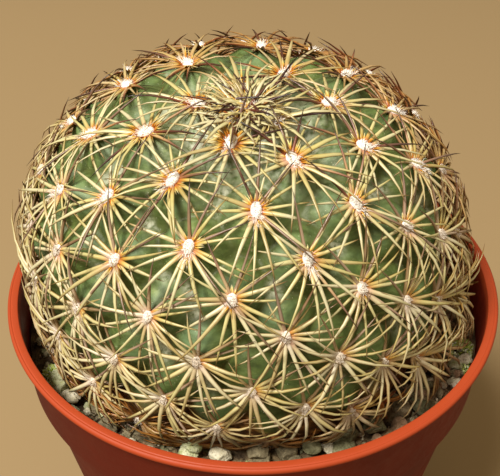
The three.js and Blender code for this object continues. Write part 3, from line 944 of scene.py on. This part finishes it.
def bent_clear(points, off_soil):
    """Low spines hug the plant's foot and lie on the gravel, and none touches the pot's wall."""
    across = points[..., :2] - np.array(PLANT_AT[:2])
    reach = np.linalg.norm(across, axis=-1, keepdims=True)
    side = azimuth_of(across)[..., None]
    matted = MAT_REACH * bell(side, MAT_SPREAD, MAT_SIDE)
    free = STANDING_REACH * bell(side, STANDING_SPREAD, STANDING_SIDE)
    room = np.interp(points[..., 2:], *zip(*FOOT_ROOM)) + matted + free
    points[..., :2] = np.array(PLANT_AT[:2]) + across * held_under(reach, room, 2) / reach
    reach = np.linalg.norm(points[..., :2], axis=-1, keepdims=True)
    points[..., :2] *= held_under(reach, INNER_RIM_RADIUS - SPINE_FROM_WALL, 3) / reach
    points[..., 2] = -held_under(-points[..., 2], -SOIL_LEVEL - off_soil, 1.5)
    return points


def grow_spines(
    name, pattern, i, turns, lifts, lengths, thickness, bends, marks, bow, flat=1, off_soil=1
):
    """Spines of areoles i, each at its turn from the way to the crown and its lift off the skin."""
    needle, faces = pattern
    way = crownward[i] * np.cos(turns)[:, None] + sideways[i] * np.sin(turns)[:, None]
    ring = np.stack([np.sin(turns) * half_width[i], np.cos(turns) * half_height[i]], -1)
    ring *= 1 - 0.3 * ages[i][:, None]
    roots = areole_roots[i] + ring[:, :1] * sideways[i] + ring[:, 1:] * crownward[i]
    roots += 0.3 * ages[i][:, None] * outwards[i]
    middles, rounds = drawn_along(
        needle, roots - 0.35 * way, way, outwards[i] * np.tan(lifts)[:, None], lengths,
        thickness, bends, bow, flat,
    )
    placed = bent_clear(on_plant(middles), off_soil) + rounds @ plant_turn.T
    thin = np.maximum(np.hypot(needle[:, 0], needle[:, 1]), 1e-6)
    # Painted shade: each spine's sides, and its underside towards the skin, are marked for an amber
    # tint.
    painted_side_shade = 0.6 * np.abs(needle[:, 0]) / thin + np.maximum(0, needle[:, 1]) / thin
    # The mark holds wear on the foot's spines and painted shade on the plant's back.
    wear_and_painted_shade = np.maximum(painted_back_shade[i], np.clip((WORN_FROM - heights[i]) / WORN_RANGE, 0, 1))[:, None]
    marks = {**marks, "along": needle[None, :, 2], "painted_side_shade": painted_side_shade[None], "wear_and_painted_shade": wear_and_painted_shade}
    return copied(name, placed, faces, marks)


spine = make_needle(6, SPINE_STATIONS)
random = np.random.default_rng(8)
areole_twist = random.normal(0, 7, len(numbers))
newborn = 0.9 * np.exp(-(numbers - YOUNGEST) / 9)  # pale at first
# Painted shade: spines towards the plant's back, and further forward on its right, are tinted
# brown.
behind = areoles[:, 1] - BACK_SHADE_FROM + 0.5 * np.maximum(0, areoles[:, 0] - BACK_SHADE_RIGHT)
painted_back_shade = PAINTED_BACK_SHADE * np.clip(behind / BACK_SHADE_RANGE, 0, 1)
i = np.repeat(np.flatnonzero(grown), RADIALS)
slots = np.tile(np.arange(RADIALS), int(grown.sum()))
lasting = random.random(len(i)) < 0.7 + 0.3 * vigour[i]
i, slots = i[lasting], slots[lasting]
arc = 360 - 2 * FREE_OF_TOP
turns = FREE_OF_TOP + arc * (slots + 0.5 + 0.6 * (random.random(len(i)) - 0.5)) / RADIALS
turns += areole_twist[i]
from_top = np.abs((turns + 180) % 360 - 180)
longer = np.interp(from_top, [20, 60, 110, 150, 180], [0.68, 0.76, 0.88, 1.04, 1.0])
lengths = SPINE_LENGTH * (0.4 + 0.6 * crown_scale[i]) * longer
lengths *= random.uniform(0.84, 1.12, len(i))
lengths *= 0.7 + 0.3 * vigour[i]
sides = azimuth_of(areoles)
combed = bell(sides[i], LONG_SPREAD, LONG_SIDE) * bell(heights[i], LONG_RISE, LONG_HEIGHT)
lengths *= 1 + 0.6 * combed * np.maximum(0, np.cos(np.radians(turns - LONG_TURN)))
marks = {
    "age": np.clip(ages[i] + newborn[i] + random.normal(0, 0.1, len(i)), 0, 1)[:, None],
    "chance": random.random((len(i), 1)),
    # painted glow: how far each spine turns to the side where old bases glow orange
    "painted_glow": (0.5 + 0.5 * np.cos(np.radians(turns - PAINTED_GLOW_SIDE)))[:, None],
}
standing = bell(sides[i], STANDING_SPREAD, STANDING_SIDE)
standing *= bell(heights[i], STANDING_RISE, STANDING_HEIGHT)
lifts = random.uniform(*RADIAL_LIFTS, len(i)) + YOUNG_LIFT * (1 - crown_scale[i])
lifts += STANDING_LIFT * standing
lifts += LOW_LIFT * np.clip((LOW_FROM - heights[i]) / LOW_RANGE, 0, 1)
thickness = SPINE_THICK * random.uniform(0.7, 1.15, len(i))
thickness *= np.interp(from_top, [20, 70], [0.75, 1])
thickness *= (0.6 + 0.4 * crown_scale[i]) * (1 + 0.12 * ages[i])
radial_spines = grow_spines(
    "radial_spines", spine, i, np.radians(turns), np.radians(lifts),
    lengths, thickness, random.normal(0, 0.07, len(i)), marks,
    bow=0.95 - 0.45 * standing - 0.35 * newborn[i], flat=1.15 + 0.8 * newborn[i],
)

SPINE_BANDS = {0.3: "#a0905c", 0.48: "#f2f0dc", 0.7: "#ffffff"}
SPINE_TONES = {0: "#b89648", 0.25: "#dcd698", 0.6: "#f8f6f0", 1: "#eeecf4"}
# amber painted shade on the spines' sides and undersides
PAINTED_SIDE_SHADE_COLOUR = "#c08a34"


def make_spine_finish(name, young, old, odd=None, painted_glow=None, wear_and_painted_shade="#d08a32"):
    """Horny spine, its colour by how far along it is, from the young colours to the old. Some of
    the young ones may have odd colours, some of the old ones a painted glow at their bases on one
    side, and sides, undersides and the plant's back a tint of painted shade."""
    material, tree, shader = new_finish(name, 0.34, 0.6)
    along, age, chance = (mark_of(tree, mark) for mark in ("along", "age", "chance"))
    fresh, faded = graded(tree, along, young), graded(tree, along, old)
    if odd:
        fresh = blended(tree, masked(tree, chance, 0.76, 0.84), fresh, graded(tree, along, odd))
    if painted_glow:
        # Painted glow of light through the old bases on one side.
        glow_share = masked(tree, mark_of(tree, "painted_glow"), 0.5, 1)
        faded = blended(tree, glow_share, faded, graded(tree, along, painted_glow))
    colour = blended(tree, age, fresh, faded)
    bands = graded(tree, noise(tree, 330, 4), SPINE_BANDS)
    colour = blended(tree, 0.3, colour, bands, "MULTIPLY")
    colour = blended(tree, 0.6, colour, graded(tree, chance, SPINE_TONES), "MULTIPLY")
    # Tints: painted amber shade on sides and undersides, then wear at the foot together with
    # painted shade on the plant's back.
    for mark, low, high, tint in (("painted_side_shade", 0.35, 1.15, PAINTED_SIDE_SHADE_COLOUR), ("wear_and_painted_shade", 0, 1.2, wear_and_painted_shade)):
        tinted = blended(tree, 1, colour, paint(tint), "MULTIPLY")
        colour = blended(tree, masked(tree, mark_of(tree, mark), low, high), colour, tinted)
    lay_on(tree, shader, colour, grained(tree, 2200, 0.0001, 0.4)["Normal"])
    return material


straw_spine = make_spine_finish(
    "straw_spine",
    {0: "#8e3408", 0.06: "#a84c12", 0.1: "#c47626", 0.15: "#d0a444", 0.24: "#cec47a",
     0.5: "#cecea8", 0.76: "#c2b684", 0.9: "#9c733a", 1: "#69361a"},
    {0: "#b89076", 0.04: "#e6d4c6", 0.1: "#e6decc", 0.3: "#e0dab6", 0.7: "#ccc498",
     0.9: "#a0906a", 1: "#735a4a"},
    painted_glow={0: "#b2602a", 0.08: "#c4863a", 0.16: "#d2b064", 0.3: "#d6cc98", 0.7: "#c4ba84",
          0.9: "#9c855f", 1: "#735a4a"},
)
set_in_place(radial_spines, straw_spine)

# ---- Bristles ----
# A ruff of short flat bristles stands round each young pad, between the feet of the spines. They
# are orange at the pad and pale at their ends, and wear off as the areole ages.
BRISTLES = 60
BRISTLE_LENGTHS = (1.2, 2.7)
BRISTLE_THICK = 0.15
BRISTLE_LIFTS = (15, 50)

bristle = make_needle(3, [(1.0, 0.4), (0.05, 1)])
random = np.random.default_rng(18)
i = np.repeat(np.flatnonzero(grown & (ages < 0.75)), BRISTLES)
turns = random.uniform(0, 2 * math.pi, len(i))
lengths = random.uniform(*BRISTLE_LENGTHS, len(i)) * (1 - 0.5 * ages[i]) * (1 + newborn[i])
lengths *= 1 + 0.35 * np.maximum(0, -np.cos(turns))
bristles = grow_spines(
    "bristles", bristle, i, turns, np.radians(random.uniform(*BRISTLE_LIFTS, len(i))),
    lengths, BRISTLE_THICK * random.uniform(0.6, 1.2, len(i)), random.normal(0, 0.15, len(i)),
    {"chance": random.random((len(i), 1))}, bow=0.5, flat=1.3,
)
young_bristle, tree, shader = new_finish("young_bristle", 0.6, 0.2)
amber = graded(
    tree, mark_of(tree, "along"),
    {0: "#94400a", 0.26: "#bc6c18", 0.42: "#d8a03a", 0.65: "#e4d080", 1: "#f2eac0"},
)
varied = graded(tree, mark_of(tree, "chance"), {0: "#d8c8a8", 0.5: "#ffffff"})
bristle_colour = blended(tree, 0.6, amber, varied, "MULTIPLY")
lay_on(tree, shader, bristle_colour, grained(tree, 2600, 0.0001, 0.4)["Normal"])
set_in_place(bristles, young_bristle)

# ---- Central spines ----
# Three longer, darker spines stand up from the top of each pad and lean to the crown, and one
# runs down to the right. They are red-brown with nearly black tips, and go grey-brown with age.
CENTRAL_TURNS = (-14, 25, 52, 146)
CENTRAL_LENGTHS = (11.5, 12, 10.5, 12.5)
CENTRAL_LIFTS = (24, 22, 20, 22)
CENTRAL_THICK = 0.26
CENTRAL_STATIONS = [(1.25, 0.04), (1.05, 0.12), (0.95, 0.3), (0.75, 0.55), (0.45, 0.78), (0.04, 1)]

central = make_needle(5, CENTRAL_STATIONS)
random = np.random.default_rng(9)
with_centrals = np.flatnonzero(grown & (numbers > -6))
i = np.repeat(with_centrals, len(CENTRAL_TURNS))
count = len(with_centrals)
turns = np.radians(np.tile(CENTRAL_TURNS, count) + areole_twist[i] + random.normal(0, 5, len(i)))
lengths = np.tile(CENTRAL_LENGTHS, count) * random.uniform(0.86, 1.06, len(i))
lengths *= (0.7 + 0.3 * crown_scale[i]) * (0.35 + 0.65 * vigour[i])
lifts = np.tile(CENTRAL_LIFTS, count) + random.normal(0, 4, len(i))
lifts = np.radians(lifts * (1 - 0.3 * ages[i]) + 16 * (1 - crown_scale[i]))
marks = {
    "age": np.clip(ages[i] + random.normal(0, 0.08, len(i)), 0, 1)[:, None],
    # Painted shade: on the plant's back more centrals take the odd amber colours.
    "chance": np.clip(random.random((len(i), 1)) + 0.3 * painted_back_shade[i][:, None], 0, 1),
}
central_spines = grow_spines(
    "central_spines", central, i, turns, lifts, lengths,
    CENTRAL_THICK * random.uniform(0.8, 1.08, len(i)) * (1 + 0.3 * ages[i]),
    random.normal(0, 0.035, len(i)), marks, bow=0.15 + 0.5 * crown_scale[i],
)
dark_spine = make_spine_finish(
    "dark_spine",
    {0: "#9a3610", 0.06: "#a04a1a", 0.15: "#82381c", 0.35: "#5f2a20", 0.6: "#3f1c1a",
     0.82: "#231312", 1: "#140b0a"},
    {0: "#b08258", 0.08: "#d0c0a6", 0.3: "#cbb8a2", 0.55: "#b29c88", 0.8: "#8c745f",
     1: "#4c3a30"},
    odd={0: "#9c2a08", 0.07: "#c06c1c", 0.2: "#d3b05a", 0.42: "#bc8a3e", 0.6: "#84401e",
         0.8: "#3d1c14", 1: "#190f0d"},
)
set_in_place(central_spines, dark_spine)

# ---- Old spines round the foot ----
# The lowest areoles are dead and brown. Their broken spines lie matted over each other between the
# plant and the gravel.
OLD_SPINES = 9
MATTED_SPINES = 44  # more of them at each areole over the mat
MAT_HEIGHT = 9  # of the mat's highest areoles above the soil
OLD_LIFTS = (0, 26)
OLD_LENGTHS = (4, 12)
OLD_THICKNESS = (0.18, 0.34)

random = np.random.default_rng(10)
over_mat = np.abs(sides - MAT_SIDE) < 1.6 * MAT_SPREAD
matted = np.flatnonzero(over_mat & (heights < MAT_HEIGHT))
dead = np.repeat(np.flatnonzero(~grown), OLD_SPINES)
i = np.concatenate([dead, np.repeat(matted, MATTED_SPINES)])
turns = np.radians(random.choice([-1, 1], len(i)) * random.normal(88, 34, len(i)))
marks = {"age": random.uniform(0.3, 1, (len(i), 1)), "chance": random.random((len(i), 1))}
old_spines = grow_spines(
    "old_spines", spine, i, turns, np.radians(random.uniform(*OLD_LIFTS, len(i))),
    random.uniform(*OLD_LENGTHS, len(i)), random.uniform(*OLD_THICKNESS, len(i)),
    random.normal(0, 0.12, len(i)), marks, bow=0.8, off_soil=0.4,
)
brown_spine = make_spine_finish(
    "brown_spine",
    {0: "#7a4418", 0.3: "#b0742e", 0.7: "#c48c46", 1: "#704622"},
    {0: "#a0723c", 0.3: "#d8ae72", 0.7: "#c89e66", 1: "#7a5a36"},
    wear_and_painted_shade="#f2e4cc",
)
set_in_place(old_spines, brown_spine)
